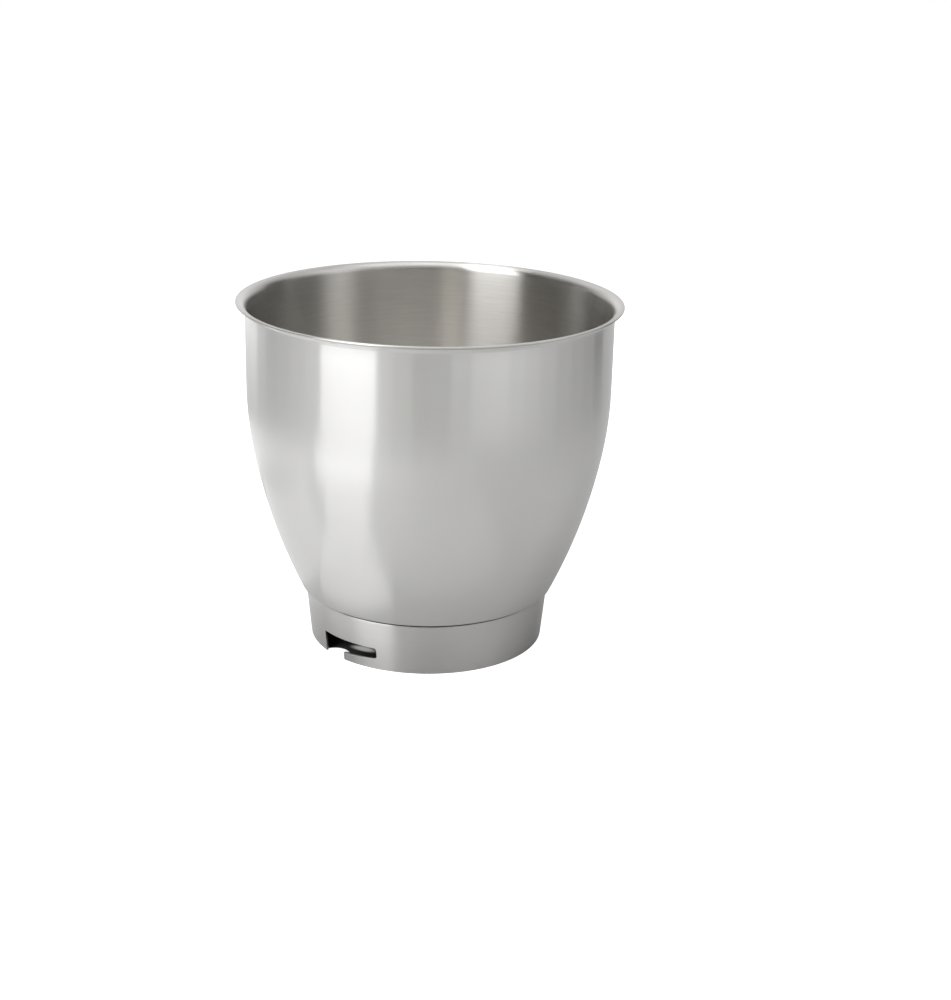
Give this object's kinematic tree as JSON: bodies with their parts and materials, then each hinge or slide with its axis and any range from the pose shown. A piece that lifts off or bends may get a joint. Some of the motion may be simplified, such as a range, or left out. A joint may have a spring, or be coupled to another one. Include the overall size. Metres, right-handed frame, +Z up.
{
  "type": "stand mixer bowl",
  "caption": "Deep stainless steel mixing bowl with a flared rim, on a welded collar with bayonet slots that lock it to the mixer's base.",
  "frame": {"origin": "on the bowl's axis, in the plane that the collar's lower edge stands on", "axes": "+Z up along the bowl's axis, towards the open mouth; -Y is the front, with the middle of one bayonet slot 40 degrees to its left and the other opposite"},
  "size_m": [0.22, 0.22, 0.201],
  "materials": {
    "bowl_steel": "fine circumferential brushing",
    "collar_steel": "fine circumferential brushing, a little darker than the bowl"
  },
  "bodies": {
    "root": {"bowl_shell": "bowl_steel", "base_collar": "collar_steel"}
  },
  "joints": []
}
